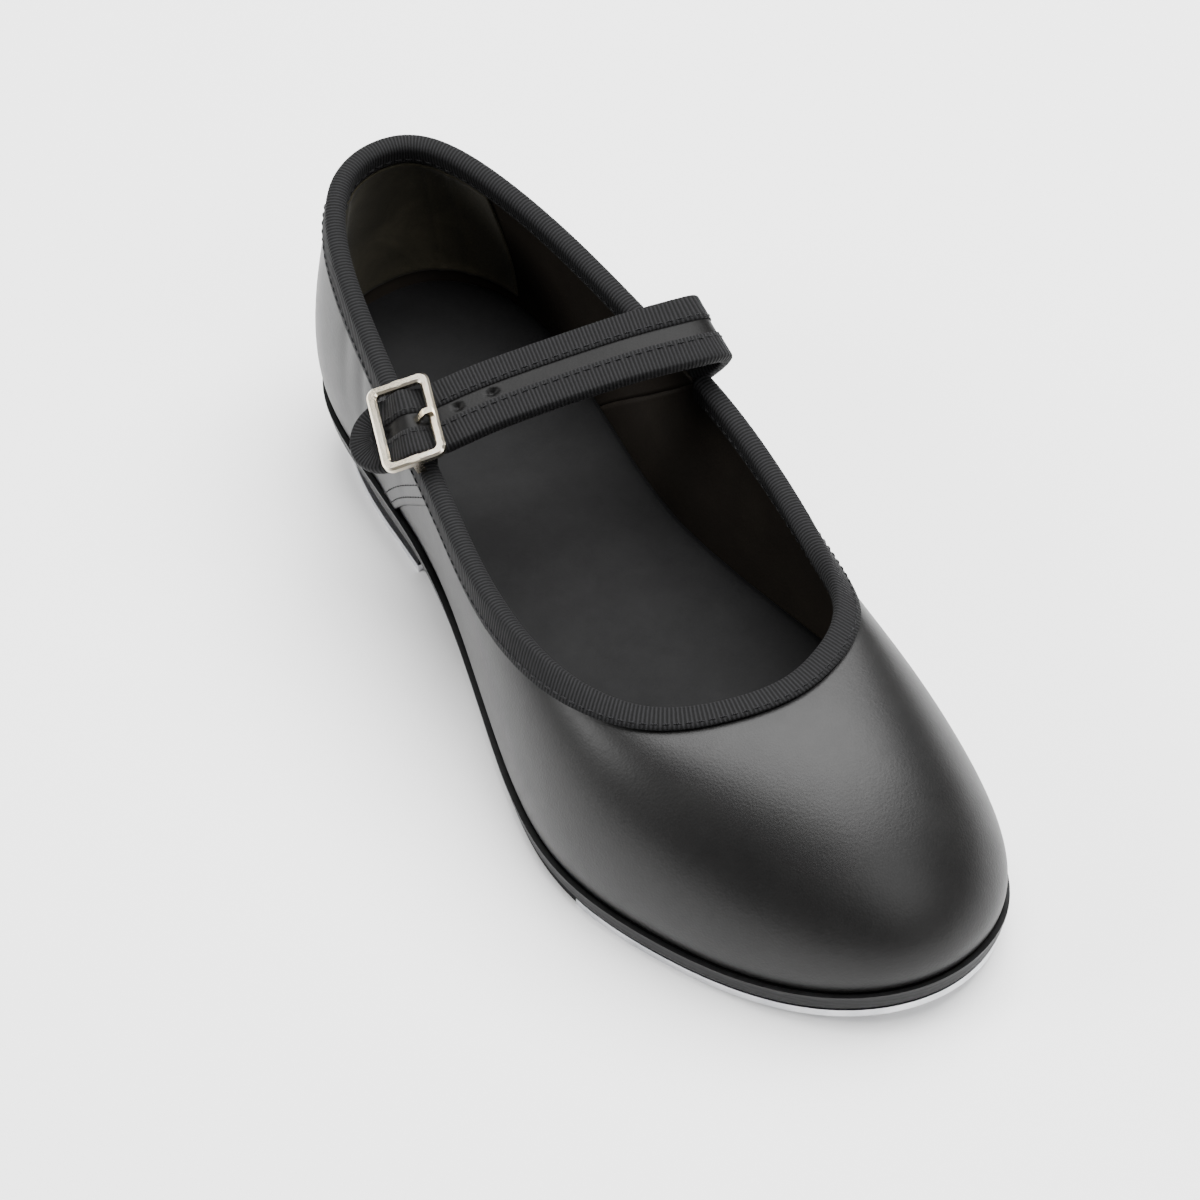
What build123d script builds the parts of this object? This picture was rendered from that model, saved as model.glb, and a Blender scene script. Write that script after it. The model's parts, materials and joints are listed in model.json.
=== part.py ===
from build123d import *
import math
import os
import numpy as np

# Right tap shoe with an ankle-side buckle.  Toe towards -Y, heel towards +Y, outer (lateral)
# side at -X, floor at z = 0.  All lengths are millimetres.

# ------------------------------------------------------------------ driving dimensions
TAP = 2.0                  # aluminium tap plates
UNDERLAY = 1.2             # board between the toe tap and the outsole
OUTSOLE = 3.4              # leather-board outsole
SOLE_EDGE = 1.2            # how far the outsole stands out past the feather line
HEEL_SEAT = 17.0           # underside of the outsole at the heel breast
SEAT_RISE = 1.0            # further rise of the seat from breast to back
BREAST_Y = 52.0            # straight front face of the heel
HEEL_TOP_LIFT = 3.0        # rubber lift between heel block and heel tap
TREAD_Y = -25.0            # where the waist meets the flat forefoot
TOE_SPRING_Y = -85.0       # where the sole starts to lift towards the toe
TOE_SPRING = 4.2           # lift of the sole at the toe tip
TOE_TIP_Y = -125.0
TAP_REAR_Y = -58.0         # rear edge of the toe tap
PAD_REAR_Y = -24.0         # rear edge of the rubber grip pad
PAD_LIFT = 0.4             # the pad stops this far above the floor
LEATHER = 1.3              # outer leather
STIFFENER = 0.6            # heel counter and toe puff
LINING = 0.8
GRIP = 0.6                 # suede heel grip
GLUE = 0.15                # glue line between stacked or lasted layers
LASTING_MARGIN = 8.0       # upper turned in under the insole
INSOLE_BOARD = 2.0
SOCK_FOAM = 2.0
SOCK = 0.9
RAND_W, RAND_H = 1.1, 0.8
RAND_GAP = 0.8             # from the feather line to the rand
BINDING = 0.7              # ribbon folded over the edges
BINDING_LEG = 5.2          # visible width of the ribbon
STRAP_W = 16.0
STRAP_LEATHER = 1.2
STRAP_LINING = 0.8
STRAP_BINDING_LEG = 4.4
TIP_LENGTH = 14.0          # strap beyond the centre bar
STRAP_START = 1.8          # the strap starts this far above its root
RIBBON_GAP = 0.2           # room between the strap and its ribbon
BUCKLE_W, BUCKLE_L = 22.4, 15.2
BUCKLE_BAR = 2.2
BUCKLE_T = 1.7
PIN_BAR_R = 0.8
PIN_BAR_DROP = 4.15         # the centre bar sits this far below the frame
FRAME_LIFT = 4.05           # frame plane above the strap's middle surface
HUMP = 2.7                 # rise of the strap over the centre bar
PRONG_W, PRONG_T = 1.5, 1.0
PRONG_RUN = 0.15           # clearance of the prong on its bar
HOLE_R = 1.1
HOLE_PITCH = 8.6
SCREW_HEAD_R, SCREW_R, SCREW_LEN = 3.2, 1.4, 4.5
NAIL_R, NAIL_LEN = 0.9, 9.0
TAB_W = 6.6                # elastic tab
ORIGIN_X, ORIGIN_Y = 3.9, 2.2   # moves the shoe so that the origin is under its middle

# Ring of control stations round the shoe: heel back, outer side, toe, inner side.
# feather line x, y | topline x, y, z | lower handle out, up | upper handle dx, dy, dz
STATIONS = np.array([
    (2, 119, 2, 118, 75.0, 5, 16, 0, 4, -16),        # back of the heel
    (-16, 115, -13, 114, 74.0, 5, 16, -2, 3, -16),
    (-28, 98, -23, 97, 69.5, 5, 15, -4, 1, -15),
    (-30, 72, -28, 72, 63.0, 4, 14, -3, 0, -14),
    (-31, 45, -32, 46, 57.0, 3, 13, -1, 0, -12),     # outer quarter, under the buckle
    (-34, 18, -36, 19, 52.0, 3, 12, -1, -1, -11),
    (-42.4, -15, -41, -7.5, 49.0, 4, 12, -3, -3, -10),
    (-51, -50, -38.2, -36.2, 48.5, 5, 13, -8, -6, -5),   # outer ball
    (-40.5, -82, -29, -57, 49.0, 6, 15, -13, -13, 0),
    (-22.5, -114.5, -12, -64, 49.5, 6, 16, -8, -28, 1),
    (4.2, -128.5, 1.6, -65.7, 49.5, 7.4, 16, 1.4, -33.3, 1),       # toe tip
    (32, -115, 12, -62.6, 49.5, 7.9, 16, 6.6, -28, 1),
    (39.3, -82, 25.8, -54, 49.0, 5.5, 15, 6.6, -13, 0),
    (41, -48.4, 32, -35, 49.0, 3.8, 13, 1.1, -5.7, -5),      # inner ball
    (34.3, -12, 36, -8, 50.5, 3.7, 12, 1, -2, -10),
    (23, 16, 36.5, 15, 54.5, 2, 12, 1, 0, -12),
    (25, 45, 33, 41, 59.0, 2, 13, 1, 0, -13),        # inner quarter, strap root
    (30, 75, 29, 71, 65.0, 3, 14, 2, 0, -14),
    (29, 100, 22.5, 98, 70.0, 5, 15, 4, 1, -15),
    (17, 116, 14, 114, 74.0, 5, 16, 2, 3, -16),
], dtype=float)
TOE = 10                                        # station number of the toe tip
LATERAL_SEAM = (3.55, 4.85)                     # station at the feather line and at the topline
MEDIAL_SEAM = (16.45, 15.25)
STRAP_FOOT = (15.22, 15.90)                     # stretch of the topline that carries the strap

# Strap route from the inner topline over the instep to the tip: centre x, y, z and the
# direction across the strap, towards the heel.
STRAP_ROUTE = np.array([
    (35.2, 30.0, 57.6, -0.05, 0.98, 0.17),
    (38.6, 27.5, 62.0, -0.04, 0.97, 0.22),
    (39.8, 25.2, 66.7, 0.06, 0.94, 0.34),
    (33.0, 24.2, 68.8, 0.18, 0.93, 0.32),
    (20.0, 27.7, 68.2, 0.30, 0.91, 0.25),
    (0.0, 32.6, 65.2, 0.33, 0.90, 0.22),
    (-17.5, 36.4, 62.8, 0.34, 0.89, 0.25),
    (-33.2, 38.1, 59.2, 0.36, 0.88, 0.30),
    (-43.2, 46.6, 54.9, 0.38, 0.87, 0.32),
    (-49.5, 52.5, 51.5, 0.38, 0.87, 0.32),
], dtype=float)
BUCKLE_KNOT = 7                                 # the route point under the buckle


def spline_weights(f):
    """Weights of a uniform cubic B-spline at fraction f of a span."""
    return ((1 - f) ** 3 / 6, (3 * f ** 3 - 6 * f ** 2 + 4) / 6,
            (-3 * f ** 3 + 3 * f ** 2 + 3 * f + 1) / 6, f ** 3 / 6)


def ring_row(u):
    """Station values at ring position u, smoothed round the closed ring."""
    i = math.floor(u)
    weights = spline_weights(u - i)
    return sum(w * STATIONS[(i - 1 + k) % len(STATIONS)] for k, w in enumerate(weights))


def ease(s):
    s = min(max(s, 0.0), 1.0)
    return s * s * (3 - 2 * s)


def sole_under(y):
    """Height of the outsole's underside along the shoe."""
    forefoot = TAP + UNDERLAY
    waist = (HEEL_SEAT - forefoot) * ease((y - TREAD_Y) / (BREAST_Y - 2 - TREAD_Y))
    seat = SEAT_RISE * max(0.0, y - BREAST_Y) / 70
    spring = TOE_SPRING * (max(0.0, TOE_SPRING_Y - y) / (TOE_SPRING_Y - TOE_TIP_Y)) ** 2
    return forefoot + waist + seat + spring


def sole_top(y):
    return sole_under(y) + OUTSOLE


def outline_point(u, offset):
    """Feather line in plan, moved outwards by offset."""
    here = ring_row(u)[:2]
    along = ring_row(u + 0.01)[:2] - ring_row(u - 0.01)[:2]
    out = np.array([along[1], -along[0]]) / np.linalg.norm(along)
    return here + out * offset, out


def upper(u, t):
    """Point on the outside of the upper: t = 0 at the feather line, t = 1 at the topline."""
    fx, fy, tx, ty, tz, bulge, rise, hx, hy, hz = ring_row(u)
    out = outline_point(u, 0)[1]
    foot = np.array([fx, fy, sole_top(fy) + GLUE])
    low = foot + np.array([out[0] * bulge, out[1] * bulge, rise])
    top = np.array([tx, ty, tz])
    high = top + np.array([hx, hy, hz])
    return ((1 - t) ** 3 * foot + 3 * (1 - t) ** 2 * t * low
            + 3 * (1 - t) * t ** 2 * high + t ** 3 * top)


def upper_normal(u, t):
    e = 0.004
    du = upper(u + e, t) - upper(u - e, t)
    dt = upper(u, min(t + e, 1)) - upper(u, max(t - e, 0))
    n = np.cross(du, dt)
    return n / np.linalg.norm(n)


def skin(u, t, depth):
    """Point at a depth under (positive) or over (negative) the outside of the upper."""
    return upper(u, t) - upper_normal(u, t) * depth


def topline_drop(u, distance):
    """Value of t at a distance below the topline."""
    ts = np.linspace(1.0, 0.5, 26)
    points = np.array([upper(u, t) for t in ts])
    run = np.concatenate([[0], np.cumsum(np.linalg.norm(np.diff(points, axis=0), axis=1))])
    return float(np.interp(distance, run, ts))


def vec(p):
    return Vector(float(p[0]), float(p[1]), float(p[2]))


def curve(points):
    return Edge.make_spline([vec(p) for p in points])


def line(a, b):
    return Edge.make_line(vec(a), vec(b))


def patch_u(edge_a, edge_b, s, t):
    """Ring position inside a patch whose end seams slant from feather line to topline."""
    a = edge_a[0] + (edge_a[1] - edge_a[0]) * t
    b = edge_b[0] + (edge_b[1] - edge_b[0]) * t
    return a + (b - a) * s


def grid_face(rows):
    """Smooth face through a grid of points."""
    return Face.make_surface_from_array_of_points([[vec(p) for p in row] for row in rows], tol=0.01)


def border(face, point):
    """The edge of a face that passes through a point."""
    spot = Vertex(*[float(c) for c in point])
    return min(face.edges(), key=lambda edge: edge.distance_to(spot))


def ruled(edge_a, edge_b):
    """Straight-lined face between two edges that run the same way."""
    if (edge_a @ 0 - edge_b @ 0).length > (edge_a @ 0 - edge_b @ 1).length:
        edge_b = edge_b.reversed()
    return Face.make_surface_from_curves(edge_a, edge_b)


def panel(edge_a, edge_b, t_low, t_high, near, far, spans, margin=0.0):
    """Curved sheet of the upper between two seams, with an optional lasting margin."""
    steps = np.linspace(0, 1, spans + 1)
    low_inner = max(t_low, 0.03) if margin else t_low
    outer_grid = [[skin(patch_u(edge_a, edge_b, s, t), t, near)
                   for t in np.linspace(t_low, t_high, 13)] for s in steps]
    inner_grid = [[skin(patch_u(edge_a, edge_b, s, t), t, far)
                   for t in np.linspace(low_inner, t_high, 13)] for s in steps]
    outer, inner = grid_face(outer_grid), grid_face(inner_grid)
    half = len(steps) // 2

    def pair(row, column):
        return border(outer, outer_grid[row][column]), border(inner, inner_grid[row][column])

    faces = [outer, inner, ruled(*pair(half, -1)), ruled(*pair(0, 6)), ruled(*pair(-1, 6))]
    outer_foot, inner_foot = pair(half, 0)
    if not margin:
        faces.append(ruled(outer_foot, inner_foot))
        return Solid(Shell(faces))
    spots = [outline_point(patch_u(edge_a, edge_b, s, 0), -margin)[0] for s in steps]
    low_turn = [(x, y, sole_top(y) + GLUE) for x, y in spots]
    high_turn = [(x, y, sole_top(y) + GLUE + LEATHER) for x, y in spots]
    low_edge, high_edge = curve(low_turn), curve(high_turn)
    faces += [ruled(outer_foot, low_edge), ruled(low_edge, high_edge), ruled(inner_foot, high_edge)]
    for end in (0, -1):
        faces.append(ruled(line(outer_grid[end][0], low_turn[end]),
                           line(inner_grid[end][0], high_turn[end])))
    return Solid(Shell(faces))


def polygon_loft(sections, ruled=False):
    """Solid through a row of polygons that all have the same number of corners."""
    wires = []
    for corners in sections:
        ring = list(corners) + [corners[0]]
        wires.append(Wire([line(a, b) for a, b in zip(ring[:-1], ring[1:])]))
    solid = Solid.make_loft(wires, ruled)
    return solid if solid.volume > 0 else Solid.make_loft(wires[::-1], ruled)


# ------------------------------------------------------------------ sole layers
def plan_face(offset, count=44):
    points = [outline_point(len(STATIONS) * k / count, offset)[0] for k in range(count)]
    edge = Edge.make_spline([Vector(float(x), float(y), 0) for x, y in points], periodic=True)
    return Face(Wire([edge]))


def profile_slab(low, high, half_width=80.0):
    """Slab across the shoe between two height functions of y."""
    ys = np.linspace(-140, 140, 71)
    under = [(-half_width, y, low(y)) for y in ys]
    over = [(-half_width, y, high(y)) for y in reversed(ys)]
    wire = Wire([curve(under), line(under[-1], over[0]), curve(over), line(over[-1], under[0])])
    return Solid.extrude(Face(wire), Vector(2 * half_width, 0, 0))


def sole_layer(offset, low, high, y_a=-140.0, y_b=140.0):
    column = Solid.extrude(plan_face(offset), Vector(0, 0, 60))
    stretch = Pos(0, (y_a + y_b) / 2, 0) * Box(160, y_b - y_a, 200)
    return solid_of(column & profile_slab(low, high) & stretch)


def solid_of(shape):
    """The single solid of a boolean result."""
    solids = shape.solids()
    return solids[0] if len(solids) == 1 else Compound(children=list(solids))


def above(height):
    return lambda y: sole_top(y) + height


def below(height):
    return lambda y: sole_under(y) - height


def level(height):
    return lambda y: height


def heel_section(inset_side, inset_back, z):
    """Plan of the heel at one height: a round back closed by the straight breast."""
    count = 15
    start, stop = -3.5, 3.4
    points = []
    for k in range(count):
        u = start + (stop - start) * k / (count - 1)
        back = max(0.0, math.cos(math.pi * u / 7.0))
        spot = outline_point(u % len(STATIONS), -inset_side - inset_back * back)[0]
        points.append((spot[0], spot[1], z))
    points[0] = (points[0][0], BREAST_Y, z)
    points[-1] = (points[-1][0], BREAST_Y, z)
    return Wire([curve(points), line(points[-1], points[0])])


def countersunk(x, y, z, length):
    """Flat-head screw driven upwards, its head level with z."""
    head = Solid.make_cone(SCREW_HEAD_R, SCREW_R, 1.6, Plane((x, y, z), z_dir=(0, 0, 1)))
    shank = Solid.make_cylinder(SCREW_R, length, Plane((x, y, z + 1.5), z_dir=(0, 0, 1)))
    slot = Pos(x, y, z) * Box(4.6, 0.8, 1.2)
    return solid_of((head + shank) - slot)


def screw_room(x, y, z, length):
    head = Solid.make_cone(SCREW_HEAD_R, SCREW_R, 1.6, Plane((x, y, z), z_dir=(0, 0, 1)))
    shank = Solid.make_cylinder(SCREW_R, length, Plane((x, y, z + 1.5), z_dir=(0, 0, 1)))
    return head + shank


# ------------------------------------------------------------------ strap frame
def route_row(v):
    """Strap route values at knot position v; the end knots are repeated to clamp the ends."""
    i = min(max(math.floor(v), 0), len(STRAP_ROUTE) - 2)
    weights = spline_weights(v - i)
    rows = [STRAP_ROUTE[min(max(i - 1 + k, 0), len(STRAP_ROUTE) - 1)] for k in range(4)]
    return sum(w * row for w, row in zip(weights, rows))


KNOTS = np.linspace(0, len(STRAP_ROUTE) - 1, 361)
ROUTE_POINTS = np.array([route_row(v)[:3] for v in KNOTS])
ROUTE_LENGTHS = np.concatenate([[0], np.cumsum(np.linalg.norm(np.diff(ROUTE_POINTS, axis=0), axis=1))])
BUCKLE_S = float(np.interp(BUCKLE_KNOT, KNOTS, ROUTE_LENGTHS))
STRAP_END = BUCKLE_S + TIP_LENGTH


def strap_axes(s):
    v = float(np.interp(s, ROUTE_LENGTHS, KNOTS))
    extra = max(0.0, s - ROUTE_LENGTHS[-1])
    row = route_row(v)
    e = 0.02
    along = route_row(min(v + e, KNOTS[-1]))[:3] - route_row(max(v - e, 0))[:3]
    along /= np.linalg.norm(along)
    across = row[3:] - along * np.dot(row[3:], along)
    across /= np.linalg.norm(across)
    return row[:3] + along * extra, along, across, np.cross(across, along)


def hump(s):
    """Rise of the strap over the buckle's centre bar."""
    x = (s - BUCKLE_S) / (0.42 * BUCKLE_L)
    return HUMP * math.cos(math.pi / 2 * x) ** 2 if abs(x) < 1 else 0.0


def strap_point(s, w, n):
    """Point at distance s along the strap, w across it and n above its middle surface."""
    centre, along, across, normal = strap_axes(s)
    return centre + across * w + normal * (n + hump(s))


def strap_stations(end):
    near = [BUCKLE_S + d for d in (-9, -6.4, -4.8, -3.2, -1.6, 0, 1.6, 3.2, 4.8, 6.4, 9)]
    far = list(np.linspace(STRAP_START, near[0] - 5, 16))
    tail = [s for s in (BUCKLE_S + 11.5,) if s < end - 1]
    return far + near + tail


def strap_half(s, half, end):
    """Half width of a strap layer, rounded at the tip."""
    start = end - half
    if s <= start:
        return half
    return half * math.sqrt(max(0.0, 1 - ((s - start) / half) ** 2))


def strap_layer(half, low, high, end):
    sections = []
    round_start = end - half
    body = [s for s in strap_stations(end) if s < round_start - 0.5]
    tip = [round_start + half * math.sin(math.radians(a)) for a in (0, 25, 45, 62, 76, 84)]
    for s in body + tip:
        w = strap_half(s, half, end)
        sections.append([strap_point(s, -w, low), strap_point(s, w, low),
                         strap_point(s, w, high), strap_point(s, -w, high)])
    return polygon_loft(sections, ruled=True)


def strap_outline(half, end):
    """(s, w, outward s, outward w) round the strap: front edge, tip, rear edge."""
    round_start = end - half
    body = [s for s in strap_stations(end) if s < round_start - 1.0]
    path = [(s, -half, 0.0, -1.0) for s in body]
    for a in range(-90, 91, 18):
        c, n = math.cos(math.radians(a)), math.sin(math.radians(a))
        path.append((round_start + half * c, half * n, c, n))
    path += [(s, half, 0.0, 1.0) for s in reversed(body)]
    return path


def folded_ribbon(path, leg):
    """U-shaped ribbon over the strap's edge."""
    top, bottom = STRAP_LEATHER + RIBBON_GAP, -STRAP_LINING - RIBBON_GAP
    fold = RIBBON_GAP + BINDING
    profile = [(-leg, top), (RIBBON_GAP, top), (RIBBON_GAP, bottom), (-leg, bottom),
               (-leg, bottom - BINDING), (fold, bottom - BINDING), (fold, top + BINDING),
               (-leg, top + BINDING)]
    sections = []
    for s, w, out_s, out_w in path:
        sections.append([strap_point(s + out_s * a, w + out_w * a, n) for a, n in profile])
    return polygon_loft(sections, ruled=True)


def buckle_plane(ds=0.0, dw=0.0, dn=0.0):
    """Work plane of the buckle: x along the strap, y across it, z out of it."""
    centre, along, across, normal = strap_axes(BUCKLE_S)
    origin = centre + along * ds + across * dw + normal * (FRAME_LIFT + dn)
    return Plane(vec(origin), x_dir=vec(along), z_dir=vec(normal))


def rounded_bar_frame():
    """Flat rectangular frame with round corners and a centre bar held below it on legs."""
    half_t = BUCKLE_T / 2
    outer = RectangleRounded(BUCKLE_L, BUCKLE_W, 2.6)
    inner = RectangleRounded(BUCKLE_L - 2 * BUCKLE_BAR, BUCKLE_W - 2 * BUCKLE_BAR, 1.0)
    ring = Pos(0, 0, -half_t) * extrude(outer - inner, BUCKLE_T)
    ring = chamfer(ring.edges().group_by(Axis.Z)[-1], 0.5)
    reach = BUCKLE_W / 2 - BUCKLE_BAR / 2
    bar = Pos(0, 0, -PIN_BAR_DROP) * Rot(90, 0, 0) * Cylinder(PIN_BAR_R, 2 * reach)
    legs = [Pos(0, side * reach, -PIN_BAR_DROP / 2) * Box(2.2, 1.6, PIN_BAR_DROP + 2 * PIN_BAR_R)
            for side in (-1, 1)]
    frame = ring + bar
    for leg in legs:
        frame = frame + leg
    return solid_of(frame)


def prong_shape():
    """Loop round the centre bar and a flat tongue that ends on the end bar."""
    bore = PIN_BAR_R + PRONG_RUN
    loop_r = bore + 0.8
    loop = Rot(90, 0, 0) * Cylinder(loop_r, PRONG_W)
    run_x = -(BUCKLE_L / 2 - BUCKLE_BAR * 0.35)
    rise = PIN_BAR_DROP + BUCKLE_T / 2 + PRONG_RUN
    bend_x = -(BUCKLE_L / 2 - BUCKLE_BAR - 0.9)
    path = [(-0.6, 0.55), (bend_x, rise), (run_x, rise), (run_x, rise + PRONG_T),
            (bend_x - 0.3, rise + PRONG_T), (-0.2, 1.7)]
    face = Face(Wire([Edge.make_line(Vector(a[0], -PRONG_W / 2, a[1]), Vector(b[0], -PRONG_W / 2, b[1]))
                      for a, b in zip(path, path[1:] + path[:1])]))
    tongue = Solid.extrude(face, Vector(0, PRONG_W, 0))
    hole = Rot(90, 0, 0) * Cylinder(bore, PRONG_W + 2)
    return solid_of((loop + tongue) - hole)


def placed(plane, shape):
    return shape.moved(plane.location)


def strap_holes():
    """Round holes along the strap and the long one that the prong stands in."""
    cuts = []
    for number in (-1, 1, 2):
        s = BUCKLE_S - 3.0 - number * HOLE_PITCH
        centre, along, across, normal = strap_axes(s)
        plane = Plane(vec(centre + normal * hump(s)), x_dir=vec(along), z_dir=vec(normal))
        cuts.append(placed(plane, Cylinder(HOLE_R, 8)))
    centre, along, across, normal = strap_axes(BUCKLE_S)
    plane = Plane(vec(centre), x_dir=vec(along), z_dir=vec(normal))
    cuts.append(placed(plane, Pos(-2.4, 0, 1) * Box(5.6, 2.4, 9)))
    return cuts


def elastic_tab():
    """Elastic sewn inside the outer quarter and looped round the buckle's centre bar."""
    plane = buckle_plane(dn=-PIN_BAR_DROP)
    bar, along = np.array(tuple(plane.origin)), np.array(tuple(plane.x_dir))
    across, normal = np.array(tuple(plane.y_dir)), np.array(tuple(plane.z_dir))
    inner_r, outer_r = PIN_BAR_R + 0.1, PIN_BAR_R + 0.9
    half = TAB_W / 2
    thick = 0.9
    station = 4.25
    depth = LEATHER + STIFFENER + LINING + GRIP + BINDING + 2 * GLUE
    inward = -upper_normal(station, 0.9)
    foot = skin(station, 0.70, depth)
    entry = skin(station, 0.97, depth + 0.2)
    neck = bar - normal * (outer_r - 0.35)
    over = skin(station, 1.0, depth + 0.35) + np.array([0, 0, 2.0])
    upright = np.array([0.05, 0.99, 0.1])
    bent = (inward * 0.6 - along * 0.5) * thick
    straight = inward * thick
    rings = []
    for spot, side, push in ((neck, across, bent), (over, across, bent),
                             (entry, upright, straight), (foot, upright, straight)):
        a, b = spot - side * half, spot + side * half
        rings.append([a, b, b + push, a + push])
    turn = Rot(90, 0, 0)
    loop = placed(plane, turn * (Cylinder(outer_r, 2 * half) - Cylinder(inner_r, 2 * half + 2)))
    bore = placed(plane, turn * Cylinder(inner_r, 2 * half + 2))
    notch = placed(plane, Box(6, PRONG_W + 1.0, 2 * outer_r + 1.2))
    return solid_of(polygon_loft(rings, ruled=True) + loop - bore - notch)


def write(name, shape):
    if isinstance(shape, (list, tuple)):
        shape = Compound(children=list(shape))
    shape = shape.moved(Location((ORIGIN_X, ORIGIN_Y, 0)))
    shape.label = name
    export_step(shape, f"parts/{name}.step")


def build():
    os.makedirs("parts", exist_ok=True)
    ring = len(STATIONS)
    heel_seam = (0.0, 0.0)
    lateral, medial = LATERAL_SEAM, MEDIAL_SEAM
    heel_end = (float(ring), float(ring))

    # upper, outside in
    write("vamp", panel(lateral, medial, 0, 1, 0, LEATHER, 32, LASTING_MARGIN))
    write("quarter_lateral", panel(heel_seam, lateral, 0, 1, 0, LEATHER, 16, LASTING_MARGIN))
    write("quarter_medial", panel(medial, heel_end, 0, 1, 0, LEATHER, 16, LASTING_MARGIN))
    write("back_stay", panel((-0.22, -0.16), (0.22, 0.16), 0.03, 0.86, -GLUE - 0.7, -GLUE, 4))
    counter = LEATHER + GLUE
    write("heel_counter", panel((-2.8, -2.3), (2.8, 2.3), 0.07, 0.62, counter, counter + STIFFENER, 12))
    write("toe_puff", panel((TOE - 2, TOE - 2), (TOE + 2, TOE + 2), 0.07, 0.5,
                            counter, counter + STIFFENER, 16))
    lining = counter + STIFFENER + GLUE
    write("vamp_lining", panel(lateral, medial, 0.09, 0.995, lining, lining + LINING, 32))
    write("quarter_lining", panel((medial[0] - ring, medial[1] - ring), lateral, 0.09, 0.995,
                                  lining, lining + LINING, 32))
    grip = lining + LINING + GLUE
    write("heel_grip", panel((-2.1, -1.9), (2.1, 1.9), 0.24, 0.80, grip, grip + GRIP, 10))

    # ribbon over the topline, open where the strap rises
    inner_face = lining + LINING + GLUE
    first, last = STRAP_FOOT[1] - ring, STRAP_FOOT[0]
    inside = inner_face + BINDING
    sections = []
    for u in np.linspace(first + 0.02, last - 0.02, 61):
        outer_t, inner_t = topline_drop(u, BINDING_LEG), topline_drop(u, BINDING_LEG - 1)
        crest = upper(u, 1.0) - upper(u, 0.97)
        crest *= GLUE / np.linalg.norm(crest)
        over = crest * (1 + BINDING / GLUE)
        middle_t = (outer_t + 1) / 2
        corners = [skin(u, outer_t, -GLUE - BINDING), skin(u, middle_t, -GLUE - BINDING),
                   skin(u, 1, -GLUE - BINDING) + over, skin(u, 1, inside) + over,
                   skin(u, middle_t, inside), skin(u, inner_t, inside),
                   skin(u, inner_t, inner_face), skin(u, middle_t, inner_face),
                   skin(u, 1, inner_face) + crest, skin(u, 1, -GLUE) + crest,
                   skin(u, middle_t, -GLUE), skin(u, outer_t, -GLUE)]
        along = upper(u + 0.01, 1.0) - upper(u - 0.01, 1.0)
        along /= np.linalg.norm(along)
        edge = upper(u, 1.0)
        sections.append([spot - along * np.dot(spot - edge, along) for spot in corners])
    write("topline_binding", polygon_loft(sections))

    # strap, its ribbon, buckle and prong
    cuts = strap_holes()
    half = STRAP_W / 2
    outer = strap_layer(half, 0, STRAP_LEATHER, STRAP_END)
    under = strap_layer(half - 0.1, -STRAP_LINING, -0.02, STRAP_END - 0.1)
    ribbon = folded_ribbon(strap_outline(half, STRAP_END), STRAP_BINDING_LEG)
    for cut in cuts:
        outer = outer - cut
        under = under - cut
    write("strap_outer", solid_of(outer))
    write("strap_lining", solid_of(under))
    write("strap_binding", ribbon)
    write("buckle_frame", placed(buckle_plane(), rounded_bar_frame()))
    write("buckle_prong", placed(buckle_plane(dn=-PIN_BAR_DROP), prong_shape()))
    write("elastic_tab", elastic_tab())

    # inside the foot bed
    board = LEATHER + 2 * GLUE + 0.25
    foam = board + INSOLE_BOARD + GLUE / 2
    sock = foam + SOCK_FOAM + GLUE / 2
    shank_slot = sole_layer(-LASTING_MARGIN - 0.6, above(GLUE), above(LEATHER), -18, 84)
    shank_box = Pos(0, 33, 20) * Box(12, 102, 60)
    filler = sole_layer(-LASTING_MARGIN - 0.6, above(GLUE), above(LEATHER))
    write("shank", solid_of(shank_slot & shank_box))
    write("bottom_filler", solid_of(filler - Pos(0, 33, 20) * Box(12.2, 102.2, 60)))
    write("insole_board", sole_layer(-3.4, above(board), above(board + INSOLE_BOARD)))
    write("sock_foam", sole_layer(-4.0, above(foam), above(foam + SOCK_FOAM)))
    write("sock_lining", sole_layer(-3.8, above(sock), above(sock + SOCK)))

    # sole, heel and taps
    toe_screws = [(5, -112), (-22, -84), (26, -82), (-26, -66), (29, -66)]
    heel_screws = [(-16, 62), (17, 62), (1, 97)]
    toe_rooms = [screw_room(x, y, below(TAP + UNDERLAY)(y) + 0.3, SCREW_LEN) for x, y in toe_screws]
    heel_rooms = [screw_room(x, y, 0.3, SCREW_LEN + 3) for x, y in heel_screws]
    nails = [(-18, 78), (19, 78), (-10, 98), (12, 98), (0, 62)]
    nail_rods = [Solid.make_cylinder(NAIL_R, NAIL_LEN, Plane((x, y, HEEL_SEAT - 6.0), z_dir=(0, 0, 1)))
                 for x, y in nails]
    outsole = sole_layer(SOLE_EDGE, sole_under, sole_top)
    underlay = sole_layer(0.4, below(UNDERLAY), below(0), -140, TAP_REAR_Y)
    tap = sole_layer(0.8, below(UNDERLAY + TAP), below(UNDERLAY), -140, TAP_REAR_Y)
    pad = sole_layer(0.6, lambda y: max(PAD_LIFT, sole_under(y) - 2.8), sole_under,
                     TAP_REAR_Y + 0.3, PAD_REAR_Y)
    wires = [heel_section(2.4, 2.2, TAP + HEEL_TOP_LIFT), heel_section(2.0, 1.9, 9.0),
             heel_section(0.6, 0.0, HEEL_SEAT + 4)]
    block = Solid.make_loft(wires)
    block = solid_of(block & profile_slab(level(TAP + HEEL_TOP_LIFT), sole_under))
    lift = Solid.extrude(Face(heel_section(2.4, 2.2, TAP)), Vector(0, 0, HEEL_TOP_LIFT))
    heel_tap = Solid.extrude(Face(heel_section(2.2, 2.0, 0)), Vector(0, 0, TAP))
    rand_outer = sole_layer(RAND_GAP + RAND_W, above(0.03), above(RAND_H))
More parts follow.
